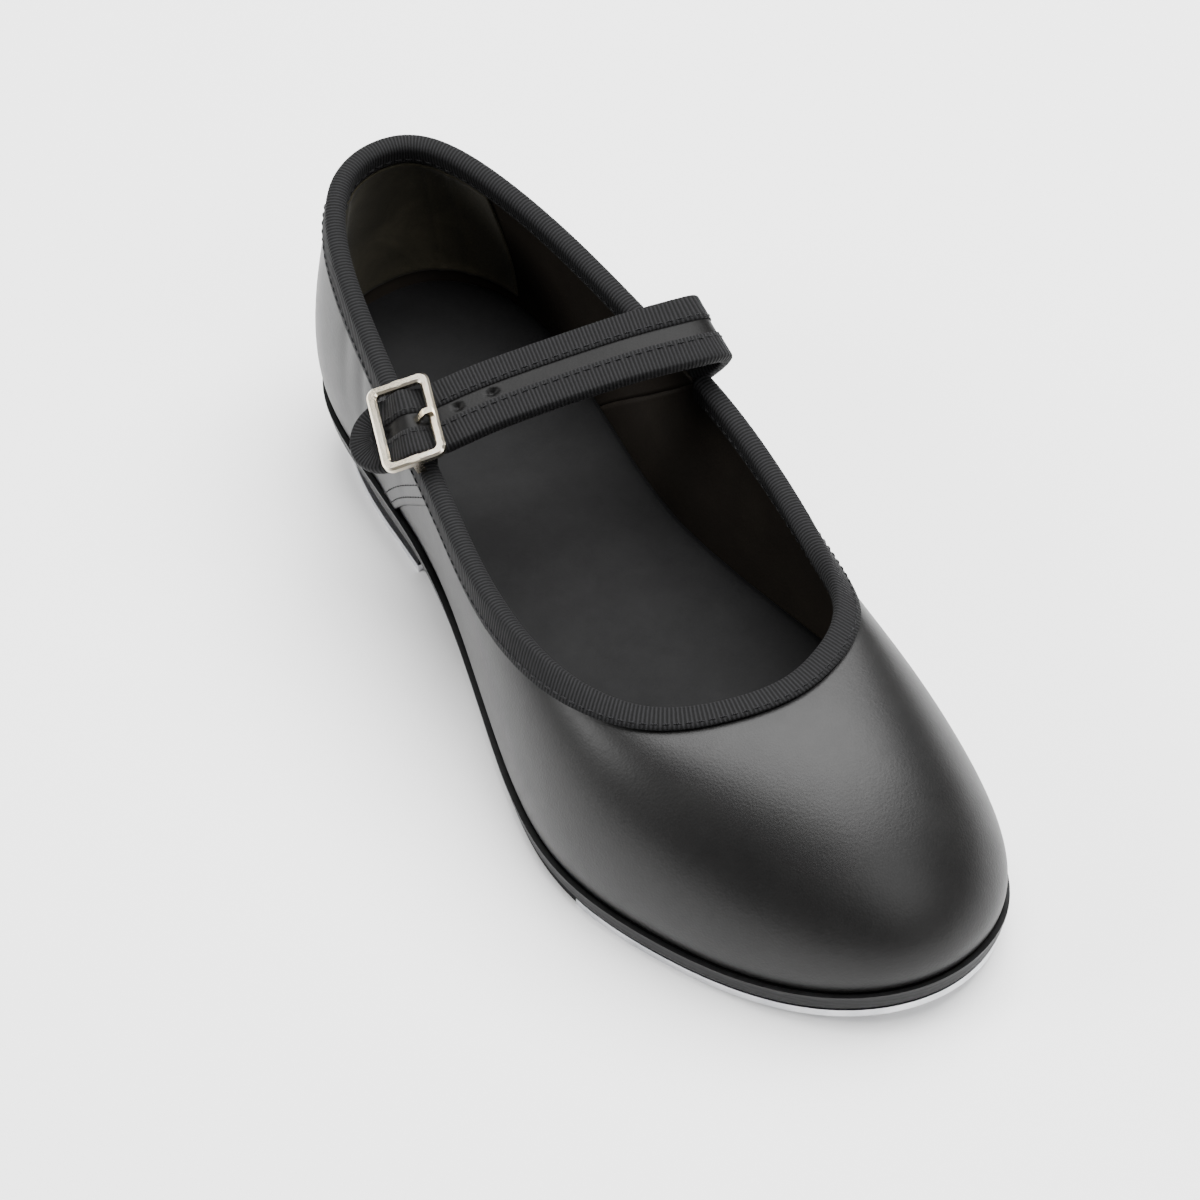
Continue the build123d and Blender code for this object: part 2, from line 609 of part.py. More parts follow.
    rand_inner = Solid.extrude(plan_face(RAND_GAP), Vector(0, 0, 60))
    for room in toe_rooms:
        tap, underlay, outsole = tap - room, underlay - room, outsole - room
    for room in heel_rooms:
        heel_tap, lift, block = heel_tap - room, lift - room, block - room
    for rod in nail_rods:
        block, outsole = block - rod, outsole - rod
    write("outsole", solid_of(outsole))
    write("rand", solid_of(rand_outer - rand_inner))
    write("toe_tap_underlay", solid_of(underlay))
    write("toe_tap", solid_of(tap))
    write("grip_pad", pad)
    write("heel_block", solid_of(block))
    write("heel_top_lift", solid_of(lift))
    write("heel_tap", solid_of(heel_tap))
    write("toe_tap_screws", [countersunk(x, y, below(TAP + UNDERLAY)(y) + 0.3, SCREW_LEN)
                             for x, y in toe_screws])
    write("heel_tap_screws", [countersunk(x, y, 0.3, SCREW_LEN + 3) for x, y in heel_screws])
    write("heel_nails", [rod & profile_slab(level(0), sole_top) for rod in nail_rods])


build()
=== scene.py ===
import json
import math

import bpy
import numpy as np
from mathutils import Matrix, Vector


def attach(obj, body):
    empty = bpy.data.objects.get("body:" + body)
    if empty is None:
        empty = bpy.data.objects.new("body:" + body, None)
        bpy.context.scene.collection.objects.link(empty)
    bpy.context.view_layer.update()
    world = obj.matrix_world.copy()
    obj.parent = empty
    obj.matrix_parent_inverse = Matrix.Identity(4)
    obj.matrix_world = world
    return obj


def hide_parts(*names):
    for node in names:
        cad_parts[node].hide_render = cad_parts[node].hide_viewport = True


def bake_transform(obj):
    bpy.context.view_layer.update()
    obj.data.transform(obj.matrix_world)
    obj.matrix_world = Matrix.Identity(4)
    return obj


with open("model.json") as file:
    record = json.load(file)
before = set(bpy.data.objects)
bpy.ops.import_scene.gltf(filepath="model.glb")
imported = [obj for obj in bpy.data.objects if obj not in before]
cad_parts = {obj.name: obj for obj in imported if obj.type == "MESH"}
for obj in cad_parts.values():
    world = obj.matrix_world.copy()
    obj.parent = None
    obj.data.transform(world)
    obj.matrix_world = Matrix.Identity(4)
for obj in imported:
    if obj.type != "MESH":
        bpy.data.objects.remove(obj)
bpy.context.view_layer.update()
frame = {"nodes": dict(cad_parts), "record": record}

# ---------------------------------------------------------- shape of the shoe, in millimetres
# The ring of stations and the strap route are the CAD model's, so the pieces lie on its surfaces.
MM = 0.001
ORIGIN = np.array([3.9, 2.2, 0.0])
TAP, UNDERLAY, OUTSOLE = 2.0, 1.2, 3.4
HEEL_SEAT, SEAT_RISE, SEAT_LENGTH, BREAST_Y = 17.0, 1.0, 70.0, 52.0
TREAD_Y, TOE_SPRING_Y, TOE_SPRING, TOE_TIP_Y = -25.0, -85.0, 4.2, -125.0
FEATHER_GAP = 0.15                       # between the sole and the upper's lower edge
VAMP_LEATHER, QUARTER_LEATHER, STAY_LEATHER = 1.3, 0.95, 0.9
LINING_DEPTH, LINING = 2.2, 0.8
GRIP_DEPTH, GRIP = 3.35, 0.5
BINDING_LEG = 5.2
STRAP_W, TIP_LENGTH = 16.0, 14.0
BUCKLE_L = 15.2
HUMP, HUMP_HALF = 2.7, 0.42 * BUCKLE_L   # the strap's rise over the buckle's centre bar
HOLE_PITCH, HOLE_FROM_BAR, HOLE_RADIUS, HOLE_DEPTH = 8.6, 3.0, 0.7, 1.1

# feather line x, y | topline x, y, z | lower handle out, up | upper handle dx, dy, dz
STATIONS = np.array([
    (2, 119, 2, 118, 75.0, 5, 16, 0, 4, -16),
    (-16, 115, -13, 114, 74.0, 5, 16, -2, 3, -16),
    (-28, 98, -23, 97, 69.5, 5, 15, -4, 1, -15),
    (-30, 72, -28, 72, 63.0, 4, 14, -3, 0, -14),
    (-31, 45, -32, 46, 57.0, 3, 13, -1, 0, -12),
    (-34, 18, -36, 19, 52.0, 3, 12, -1, -1, -11),
    (-42.4, -15, -41, -7.5, 49.0, 4, 12, -3, -3, -10),
    (-51, -50, -38.2, -36.2, 48.5, 5, 13, -8, -6, -5),
    (-40.5, -82, -29, -57, 49.0, 6, 15, -13, -13, 0),
    (-22.5, -114.5, -12, -64, 49.5, 6, 16, -8, -28, 1),
    (4.2, -128.5, 1.6, -65.7, 49.5, 7.4, 16, 1.4, -33.3, 1),
    (32, -115, 12, -62.6, 49.5, 7.9, 16, 6.6, -28, 1),
    (39.3, -82, 25.8, -54, 49.0, 5.5, 15, 6.6, -13, 0),
    (41, -48.4, 32, -35, 49.0, 3.8, 13, 1.1, -5.7, -5),
    (34.3, -12, 36, -8, 50.5, 3.7, 12, 1, -2, -10),
    (23, 16, 36.5, 15, 54.5, 2, 12, 1, 0, -12),
    (25, 45, 33, 41, 59.0, 2, 13, 1, 0, -13),
    (30, 75, 29, 71, 65.0, 3, 14, 2, 0, -14),
    (29, 100, 22.5, 98, 70.0, 5, 15, 4, 1, -15),
    (17, 116, 14, 114, 74.0, 5, 16, 2, 3, -16),
], dtype=float)
RING = len(STATIONS)
LATERAL_SEAM = (3.55, 4.85)
MEDIAL_SEAM = (16.45, 15.25)
STRAP_FOOT = (15.22, 15.90)

STRAP_ROUTE = np.array([
    (35.2, 30.0, 57.6, -0.05, 0.98, 0.17),
    (38.6, 27.5, 62.0, -0.04, 0.97, 0.22),
    (39.8, 25.2, 66.7, 0.06, 0.94, 0.34),
    (33.0, 24.2, 68.8, 0.18, 0.93, 0.32),
    (20.0, 27.7, 68.2, 0.30, 0.91, 0.25),
    (0.0, 32.6, 65.2, 0.33, 0.90, 0.22),
    (-17.5, 36.4, 62.8, 0.34, 0.89, 0.25),
    (-33.2, 38.1, 59.2, 0.36, 0.88, 0.30),
    (-43.2, 46.6, 54.9, 0.38, 0.87, 0.32),
    (-49.5, 52.5, 51.5, 0.38, 0.87, 0.32),
], dtype=float)
BUCKLE_KNOT = 7


def spline_weights(f):
    return ((1 - f) ** 3 / 6, (3 * f ** 3 - 6 * f ** 2 + 4) / 6,
            (-3 * f ** 3 + 3 * f ** 2 + 3 * f + 1) / 6, f ** 3 / 6)


def ring_row(u):
    i = math.floor(u)
    return sum(w * STATIONS[(i - 1 + k) % RING] for k, w in enumerate(spline_weights(u - i)))


def ease(s):
    s = min(max(s, 0.0), 1.0)
    return s * s * (3 - 2 * s)


def sole_top(y):
    forefoot = TAP + UNDERLAY
    waist = (HEEL_SEAT - forefoot) * ease((y - TREAD_Y) / (BREAST_Y - 2 - TREAD_Y))
    seat = SEAT_RISE * max(0.0, y - BREAST_Y) / SEAT_LENGTH
    spring = TOE_SPRING * (max(0.0, TOE_SPRING_Y - y) / (TOE_SPRING_Y - TOE_TIP_Y)) ** 2
    return forefoot + waist + seat + spring + OUTSOLE


def outward(u):
    """Direction out of the shoe in plan, square to the feather line."""
    along = ring_row(u + 0.01)[:2] - ring_row(u - 0.01)[:2]
    return np.array([along[1], -along[0]]) / np.linalg.norm(along)


def upper(u, t):
    """Point of the upper's skin at station u, from the feather line (t = 0) to the topline (1)."""
    fx, fy, tx, ty, tz, bulge, rise, hx, hy, hz = ring_row(u)
    out = outward(u)
    foot = np.array([fx, fy, sole_top(fy) + FEATHER_GAP])
    low = foot + np.array([out[0] * bulge, out[1] * bulge, rise])
    top = np.array([tx, ty, tz])
    high = top + np.array([hx, hy, hz])
    return ((1 - t) ** 3 * foot + 3 * (1 - t) ** 2 * t * low
            + 3 * (1 - t) * t ** 2 * high + t ** 3 * top)


def upper_normal(u, t):
    e = 0.004
    du = upper(u + e, t) - upper(u - e, t)
    dt = upper(u, min(t + e, 1)) - upper(u, max(t - e, 0))
    n = np.cross(du, dt)
    return n / np.linalg.norm(n)


def skin(u, t, depth):
    return upper(u, t) - upper_normal(u, t) * depth


def route_row(v):
    i = min(max(math.floor(v), 0), len(STRAP_ROUTE) - 2)
    rows = [STRAP_ROUTE[min(max(i - 1 + k, 0), len(STRAP_ROUTE) - 1)] for k in range(4)]
    return sum(w * row for w, row in zip(spline_weights(v - i), rows))


def arc_table(points):
    """Length travelled along a path at each of its points."""
    return np.concatenate([[0], np.cumsum(np.linalg.norm(np.diff(points, axis=0), axis=1))])


KNOTS = np.linspace(0, len(STRAP_ROUTE) - 1, 361)
ROUTE_LENGTHS = arc_table(np.array([route_row(v)[:3] for v in KNOTS]))
BUCKLE_S = float(np.interp(BUCKLE_KNOT, KNOTS, ROUTE_LENGTHS))
STRAP_END = BUCKLE_S + TIP_LENGTH


def strap_axes(s):
    """Centre, length, width and upward directions of the strap at a length s along it."""
    v = float(np.interp(s, ROUTE_LENGTHS, KNOTS))
    row = route_row(v)
    e = 0.02
    along = route_row(min(v + e, KNOTS[-1]))[:3] - route_row(max(v - e, 0))[:3]
    along /= np.linalg.norm(along)
    across = row[3:] - along * np.dot(row[3:], along)
    across /= np.linalg.norm(across)
    extra = max(0.0, s - ROUTE_LENGTHS[-1]) + min(0.0, s)
    return row[:3] + along * extra, along, across, np.cross(across, along)


def strap_point(s, w, n):
    """Point of the strap at length s, w across it and n above its middle surface."""
    centre, along, across, normal = strap_axes(s)
    x = (s - BUCKLE_S) / HUMP_HALF
    rise = HUMP * math.cos(math.pi / 2 * x) ** 2 if abs(x) < 1 else 0.0
    return centre + across * w + normal * (n + rise)


# ---------------------------------------------------------- mesh helpers
def to_scene(p):
    return (np.asarray(p, float) + ORIGIN) * MM


def make_object(name, points, faces, uvs=None):
    mesh = bpy.data.meshes.new(name)
    mesh.from_pydata([tuple(p) for p in points], [], faces)
    if uvs is not None:
        layer = mesh.uv_layers.new(name="UVMap")
        for loop in mesh.loops:
            layer.data[loop.index].uv = uvs[loop.vertex_index]
    for polygon in mesh.polygons:
        polygon.use_smooth = True
    mesh.validate()
    mesh.update()
    obj = bpy.data.objects.new(name, mesh)
    bpy.context.scene.collection.objects.link(obj)
    return obj


def closed_sheet(name, outer, inner, uv_rows=None):
    """Solid sheet between two grids of points of the same size (millimetres)."""
    rows, cols = len(outer), len(outer[0])
    points = [to_scene(p) for grid in (outer, inner) for row in grid for p in row]
    shift = rows * cols
    faces = []
    for i in range(rows - 1):
        for k in range(cols - 1):
            a, b = i * cols + k, (i + 1) * cols + k
            c, d = b + 1, a + 1
            faces.append((a, b, c, d))
            faces.append((shift + d, shift + c, shift + b, shift + a))
        for k in (0, cols - 1):
            a, b = i * cols + k, (i + 1) * cols + k
            face = (a, shift + a, shift + b, b)
            faces.append(face if k == 0 else face[::-1])
    for i in (0, rows - 1):
        for k in range(cols - 1):
            a, d = i * cols + k, i * cols + k + 1
            face = (a, d, shift + d, shift + a)
            faces.append(face if i == 0 else face[::-1])
    uvs = [uv for row in uv_rows for uv in row] * 2 if uv_rows is not None else None
    return make_object(name, points, faces, uvs)


def tube_loft(name, sections, uv_rows):
    """Loft through rings of points (millimetres), capped at the ends."""
    rows, cols = len(sections), len(sections[0])
    points = [to_scene(p) for row in sections for p in row]
    faces = []
    for i in range(rows - 1):
        for k in range(cols):
            a, b = i * cols + k, (i + 1) * cols + k
            c, d = (i + 1) * cols + (k + 1) % cols, i * cols + (k + 1) % cols
            faces.append((a, b, c, d))
    faces.append(tuple(range(cols)))
    faces.append(tuple(range((rows - 1) * cols, rows * cols))[::-1])
    return make_object(name, points, faces, [uv for row in uv_rows for uv in row])


WAVES = ((1.0, 0.7, 0.4), (-0.8, 1.3, 0.9), (1.9, -1.1, 1.4), (2.3, 1.7, -1.2))


def wobble(x, y, z=0.0, seed=0):
    """Smooth pseudo-random value in about -1..1 from a few sine waves."""
    total = 0.0
    for k, (a, b, c) in enumerate(WAVES):
        total += math.sin(a * x + b * y + c * z + seed * 1.7 + k * 2.1) / (1 + 0.5 * k)
    return total / 2.6


# ---------------------------------------------------------- materials
def new_material(name, gloss=0.5):
    material = bpy.data.materials.new(name)
    material.use_nodes = True
    tree = material.node_tree
    shader = tree.nodes["Principled BSDF"]
    shader.inputs["Specular IOR Level"].default_value = gloss
    return material, tree, shader


def add_node(tree, kind, **inputs):
    node = tree.nodes.new(kind)
    for key, value in inputs.items():
        node.inputs[key].default_value = value
    return node


def coordinates(tree, use_uv=False, scale=(1, 1, 1)):
    coord = tree.nodes.new("ShaderNodeTexCoord")
    mapping = tree.nodes.new("ShaderNodeMapping")
    mapping.inputs["Scale"].default_value = scale
    tree.links.new(coord.outputs["UV" if use_uv else "Object"], mapping.inputs["Vector"])
    return mapping.outputs["Vector"]


def colour_between(tree, shader, factor, dark, light, low=0.35, high=0.65, socket="Base Color"):
    ramp = tree.nodes.new("ShaderNodeValToRGB")
    ramp.color_ramp.elements[0].position = low
    ramp.color_ramp.elements[1].position = high
    ramp.color_ramp.elements[0].color = (*dark, 1)
    ramp.color_ramp.elements[1].color = (*light, 1)
    tree.links.new(factor, ramp.inputs["Fac"])
    tree.links.new(ramp.outputs["Color"], shader.inputs[socket])


def value_between(tree, socket, factor, low, high):
    span = tree.nodes.new("ShaderNodeMapRange")
    span.inputs["To Min"].default_value = low
    span.inputs["To Max"].default_value = high
    tree.links.new(factor, span.inputs["Value"])
    tree.links.new(span.outputs["Result"], socket)


def bump_chain(tree, shader, layers):
    """Stack of bumps: (height socket, distance in metres, strength)."""
    previous = None
    for height, distance, strength in layers:
        bump = add_node(tree, "ShaderNodeBump", Distance=distance, Strength=strength)
        tree.links.new(height, bump.inputs["Height"])
        if previous is not None:
            tree.links.new(previous, bump.inputs["Normal"])
        previous = bump.outputs["Normal"]
    tree.links.new(previous, shader.inputs["Normal"])


def leather(name, dark, light, rough, grain=0.0006, depth=0.00004, gloss=0.3):
    """Grained leather: cells for the grain, soft clouds for tone, fine scuffs in the gloss."""
    material, tree, shader = new_material(name, gloss)
    place = coordinates(tree)
    clouds = add_node(tree, "ShaderNodeTexNoise", Scale=38.0, Detail=4.0, Roughness=0.6)
    cells = add_node(tree, "ShaderNodeTexVoronoi", Scale=1 / grain)
    pores = add_node(tree, "ShaderNodeTexNoise", Scale=0.45 / grain, Detail=5.0, Roughness=0.65)
    scuffs = add_node(tree, "ShaderNodeTexNoise", Scale=190.0, Detail=6.0, Roughness=0.7,
                      Distortion=0.6)
    for node in (clouds, cells, pores, scuffs):
        tree.links.new(place, node.inputs["Vector"])
    colour_between(tree, shader, clouds.outputs["Fac"], dark, light)
    value_between(tree, shader.inputs["Roughness"], scuffs.outputs["Fac"], *rough)
    bump_chain(tree, shader, [(clouds.outputs["Fac"], 0.0004, 0.12),
                              (pores.outputs["Fac"], depth, 0.55),
                              (cells.outputs["Distance"], depth, 0.5)])
    return material


def ribbed(name, dark, light, pitch, rough=0.8, use_uv=True, depth=0.00012, sheen=0.02):
    """Grosgrain or thread: cross ribs along the piece's first coordinate, with fibre noise and
    painted shade in the rib grooves.
    """
    material, tree, shader = new_material(name, 0.15)
    place = coordinates(tree, use_uv)
    rib_relief_and_shade = add_node(tree, "ShaderNodeTexWave", Scale=0.314 / pitch, Distortion=0.6, Detail=2.0)
    rib_relief_and_shade.inputs["Detail Scale"].default_value = 4.0
    fibre = add_node(tree, "ShaderNodeTexNoise", Scale=2600.0, Detail=3.0)
    tree.links.new(place, rib_relief_and_shade.inputs["Vector"])
    tree.links.new(place, fibre.inputs["Vector"])
    # painted shade: the colour follows the rib height, dark in the grooves and light on the crests
    colour_between(tree, shader, rib_relief_and_shade.outputs["Fac"], dark, light, 0.2, 0.9)
    value_between(tree, shader.inputs["Roughness"], fibre.outputs["Fac"], rough - 0.1, rough + 0.1)
    bump_chain(tree, shader, [(rib_relief_and_shade.outputs["Fac"], depth, 0.9),
                              (fibre.outputs["Fac"], depth / 3, 0.5)])
    shader.inputs["Sheen Weight"].default_value = sheen
    shader.inputs["Sheen Roughness"].default_value = 0.5
    return material


def fibrous(name, dark, light, scale, rough=0.9, depth=0.00015, sheen=0.05):
    """Suede, pressed fibre, cork, foam or rubber: two sizes of noise."""
    material, tree, shader = new_material(name, 0.12)
    place = coordinates(tree)
    nap = add_node(tree, "ShaderNodeTexNoise", Scale=scale, Detail=8.0, Roughness=0.7)
    patches = add_node(tree, "ShaderNodeTexNoise", Scale=scale / 22, Detail=3.0, Distortion=0.8)
    tree.links.new(place, nap.inputs["Vector"])
    tree.links.new(place, patches.inputs["Vector"])
    colour_between(tree, shader, patches.outputs["Fac"], dark, light)
    value_between(tree, shader.inputs["Roughness"], nap.outputs["Fac"],
                  rough - 0.08, min(1.0, rough + 0.08))
    bump_chain(tree, shader, [(nap.outputs["Fac"], depth, 0.7)])
    shader.inputs["Sheen Weight"].default_value = sheen
    return material


def metal(name, dark, light, rough, stretch=(40, 40, 40), depth=0.00001):
    """Metal with fine brushed or cast marks."""
    material, tree, shader = new_material(name)
    shader.inputs["Metallic"].default_value = 1.0
    place = coordinates(tree, scale=stretch)
    marks = add_node(tree, "ShaderNodeTexNoise", Scale=24.0, Detail=6.0, Roughness=0.7)
    stains = add_node(tree, "ShaderNodeTexNoise", Scale=1.6, Detail=2.0)
    tree.links.new(place, marks.inputs["Vector"])
    tree.links.new(place, stains.inputs["Vector"])
    colour_between(tree, shader, stains.outputs["Fac"], dark, light)
    value_between(tree, shader.inputs["Roughness"], marks.outputs["Fac"],
                  rough * 0.75, rough * 1.3)
    bump_chain(tree, shader, [(marks.outputs["Fac"], depth, 0.5)])
    return material


def layered_edge(name, dark, light, pitch, rough=0.5):
    """Inked board or stacked lifts: faint level lines and dust."""
    material, tree, shader = new_material(name, 0.25)
    place = coordinates(tree)
    lines = add_node(tree, "ShaderNodeTexWave", Scale=0.314 / pitch, Distortion=1.5, Detail=3.0)
    lines.bands_direction = "Z"
    dust = add_node(tree, "ShaderNodeTexNoise", Scale=260.0, Detail=6.0, Roughness=0.7)
    tree.links.new(place, lines.inputs["Vector"])
    tree.links.new(place, dust.inputs["Vector"])
    colour_between(tree, shader, dust.outputs["Fac"], dark, light, 0.4, 0.75)
    value_between(tree, shader.inputs["Roughness"], dust.outputs["Fac"],
                  rough - 0.12, rough + 0.15)
    bump_chain(tree, shader, [(lines.outputs["Fac"], 0.00005, 0.35),
                              (dust.outputs["Fac"], 0.00003, 0.5)])
    return material


BLACK, SOFT_BLACK = (0.0026, 0.0025, 0.0025), (0.0048, 0.0046, 0.0045)
MATERIALS = {
    "upper_leather": leather("black_upper_leather", BLACK, SOFT_BLACK, (0.37, 0.47), gloss=0.25),
    "strap_leather": leather("black_strap_leather", BLACK, SOFT_BLACK, (0.40, 0.52), gloss=0.10),
    "lining": leather("dark_lining", (0.0085, 0.0066, 0.0050), (0.013, 0.0105, 0.0078),
                      (0.5, 0.62), 0.0009, gloss=0.16),
    "suede": fibrous("olive_suede", (0.017, 0.015, 0.0095), (0.032, 0.028, 0.018), 1500.0),
    # ribbon and elastic: the darker colour is painted shade in the rib grooves, the lighter one
    # the lit crests
    "ribbon": ribbed("grosgrain_ribbon", (0.0008, 0.0008, 0.0009), (0.0100, 0.0100, 0.0108),
                     0.00090),
    "elastic": ribbed("woven_elastic", (0.004, 0.004, 0.004), (0.010, 0.010, 0.011), 0.0006, 0.8,
                      False),
    "buckle_metal": metal("pale_gold_plate", (0.68, 0.60, 0.46), (0.86, 0.80, 0.68), 0.17),
    "stiffener": fibrous("pressed_fibre", (0.16, 0.12, 0.08), (0.25, 0.20, 0.14), 900.0, 0.9,
                         0.0001, 0.0),
    "insole_board": fibrous("fibre_board", (0.20, 0.14, 0.09), (0.30, 0.23, 0.15), 700.0, 0.88,
                            0.0001, 0.0),
    "shank_steel": metal("spring_steel", (0.35, 0.35, 0.37), (0.48, 0.48, 0.50), 0.4,
                         (8, 90, 40)),
    "filler": fibrous("cork_filler", (0.10, 0.07, 0.04), (0.22, 0.16, 0.10), 500.0, 0.95,
                      0.0003, 0.0),
    "foam": fibrous("grey_foam", (0.010, 0.010, 0.011), (0.016, 0.016, 0.017), 1200.0, 0.95,
                    0.0002, 0.0),
    "sock": leather("sock_cover", (0.0040, 0.0040, 0.0042), (0.0068, 0.0068, 0.0070),
                    (0.6, 0.72), 0.0007, gloss=0.10),
    "sole": layered_edge("inked_sole_edge", (0.004, 0.004, 0.0042), (0.011, 0.011, 0.0115),
                         0.0011, 0.52),
    "rand": layered_edge("moulded_rand", (0.004, 0.004, 0.0042), (0.008, 0.008, 0.0085),
                         0.0009, 0.45),
    "rubber": fibrous("black_rubber", (0.006, 0.006, 0.0065), (0.012, 0.012, 0.013), 1800.0, 0.8,
                      0.00008, 0.0),
    "heel": layered_edge("lacquered_heel", (0.004, 0.004, 0.0042), (0.009, 0.009, 0.0095),
                         0.0024, 0.4),
    "tap_metal": metal("cast_aluminium_tap", (0.62, 0.63, 0.65), (0.80, 0.80, 0.82), 0.34,
                       (90, 60, 60)),
    "screw_steel": metal("zinc_plated_steel", (0.50, 0.50, 0.52), (0.68, 0.68, 0.70), 0.3),
    # thread: the darker colour is painted shade in the rib grooves, the lighter one the lit crests
    "thread": ribbed("black_thread", (0.004, 0.004, 0.0045), (0.012, 0.012, 0.013), 0.0004, 0.6,
                     False),
}


def dress(obj, slot):
    """Material for a piece. Thread has no slot of its own in the record and takes the thread
    material.
    """
    obj.data.materials.clear()
    obj.data.materials.append(MATERIALS[slot])


def finish_piece(obj, slot, body, *nodes):
    dress(obj, slot)
    if body:
        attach(obj, body)
    if nodes:
        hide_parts(*nodes)
    return obj


for entry in frame["record"]["subparts"]:
    cad_node = frame["nodes"][entry["node"]]
    cad_node.data.materials.clear()
    cad_node.data.materials.append(MATERIALS[entry["material_slot"]])


# ---------------------------------------------------------- upper
def seam_u(seam, t):
    """Station of a slanting seam at height t, from its lower end's to its upper end's."""
    return seam[0] + (seam[1] - seam[0]) * t


def relief(u, t, seed):
    """Broad, shallow swells of pulled leather, fading out towards both edges."""
    p = upper(u, t)
    swell = 0.16 * wobble(p[0] / 17, p[1] / 19, p[2] / 13, seed)
    return swell * ease(t / 0.15) * ease((1 - t) / 0.12)


def skin_panel(name, edge_a, edge_b, rows, cols, lift_of, thickness, seed, t_low=0.0, t_top=1.0):
    """Sheet over the upper between two seams, raised from its skin by lift_of(u, t, s)."""
    outer, inner, uv = [], [], []
    for s in np.linspace(0, 1, rows):
        outer_row, inner_row, uv_row = [], [], []
        for t in np.linspace(t_low, t_top, cols):
            u = seam_u(edge_a, t) + (seam_u(edge_b, t) - seam_u(edge_a, t)) * s
            lift = lift_of(u, t, s) + relief(u, t, seed)
            outer_row.append(skin(u, t, -lift))
            inner_row.append(skin(u, t, -lift + thickness))
            uv_row.append((s * 0.3, t * 0.05))
        outer.append(outer_row)
        inner.append(inner_row)
        uv.append(uv_row)
    return closed_sheet(name, outer, inner, uv)


def vamp_lift(u, t, s):
    """The vamp dips where the quarters lap over its ends."""
    return -0.25 * (1 - ease(min(s, 1 - s) / 0.02))


vamp = skin_panel("vamp_leather", LATERAL_SEAM, MEDIAL_SEAM, 300, 72, vamp_lift, VAMP_LEATHER, 1)
finish_piece(vamp, "upper_leather", "root", "vamp")

LAP = 0.10                               # how far, in stations, a quarter laps over the vamp
LATERAL_EDGE = (LATERAL_SEAM[0] + LAP, LATERAL_SEAM[1] + LAP)
MEDIAL_EDGE = (MEDIAL_SEAM[0] - LAP, MEDIAL_SEAM[1] - LAP)


def lap_edge(distance):
    """Height of a lapped edge: full just behind the cut, easing down to the sheet beneath."""
    return 0.25 + 0.6 * (1 - ease(distance / 0.45)) * ease(distance / 0.02 + 0.35)


def crease(u, centre, width, depth):
    """Upright furrow round one station."""
    return -depth * math.exp(-((u - centre) / width) ** 2)


def folds(u, t, centres, lean, width, depth, fade):
    """Leaning furrows below the topline, each a little wider and shallower than the one before."""
    total = 0.0
    for k, centre in enumerate(centres):
        furrow = crease(u + lean * (t - 0.8), centre, width + 0.02 * k, depth - 0.05 * k)
        total += furrow * ease((t - fade) / 0.5)
    return total


def lateral_lift(u, t, s):
    """Quarter with the folds that run down from the topline behind the buckle."""
    distance = (seam_u(LATERAL_SEAM, t) + LAP) - u
    return lap_edge(distance) + folds(u, t, (3.5, 3.15, 2.75, 4.0), 0.25, 0.075, 0.34, 0.25)


def medial_lift(u, t, s):
    distance = u - (seam_u(MEDIAL_SEAM, t) - LAP)
    return lap_edge(distance) + folds(u, t, (16.6, 17.0, 17.5), -0.25, 0.08, 0.3, 0.3)


def stay_lift(u, t, s):
    """The back stay stands on the quarters and thins towards its side edges."""
    return 0.55 + 0.55 * ease(min(s, 1 - s) / 0.12)


quarter = skin_panel("quarter_leather_lateral", (0, 0), LATERAL_EDGE, 190, 64, lateral_lift,
                     QUARTER_LEATHER, 3)
finish_piece(quarter, "upper_leather", "root", "quarter_lateral")
quarter = skin_panel("quarter_leather_medial", MEDIAL_EDGE, (RING, RING), 190, 64, medial_lift,
                     QUARTER_LEATHER, 4)
finish_piece(quarter, "upper_leather", "root", "quarter_medial")
stay = skin_panel("back_stay_leather", (-0.24, -0.17), (0.24, 0.17), 26, 60, stay_lift,
                  STAY_LEATHER, 5, 0.01, 0.88)
finish_piece(stay, "upper_leather", "root", "back_stay")


# ---------------------------------------------------------- inside
def lining_lift(u, t, s):
    return -LINING_DEPTH - 0.1 + 0.1 * wobble(u * 9, t * 7, 0, 5)


HEEL_TO_MEDIAL = tuple(v - RING for v in MEDIAL_SEAM)
for name, node, first, second in (
        ("vamp_lining_cloth", "vamp_lining", LATERAL_SEAM, MEDIAL_SEAM),
        ("quarter_lining_cloth", "quarter_lining", HEEL_TO_MEDIAL, LATERAL_SEAM)):
    lining = skin_panel(name, first, second, 200, 44, lining_lift, LINING, 6, 0.10, 0.99)
    finish_piece(lining, "lining", "root", node)


def grip_lift(u, t, s):
    """Heel grip: sewn down at its edges, with upright creases where it bends round the heel."""
    puff = 0.35 * ease(min(s, 1 - s) / 0.06) * ease(min(t - 0.2, 0.9 - t) / 0.05)
    upright = sum(crease(u, centre, 0.07, 0.3) for centre in (-1.35, -0.9, 0.95, 1.4))
    return -GRIP_DEPTH + puff + upright


grip = skin_panel("heel_grip_suede", (-2.15, -1.95), (2.15, 1.95), 120, 44, grip_lift, GRIP, 8,
                  0.2, 0.9)
finish_piece(grip, "suede", "root", "heel_grip")


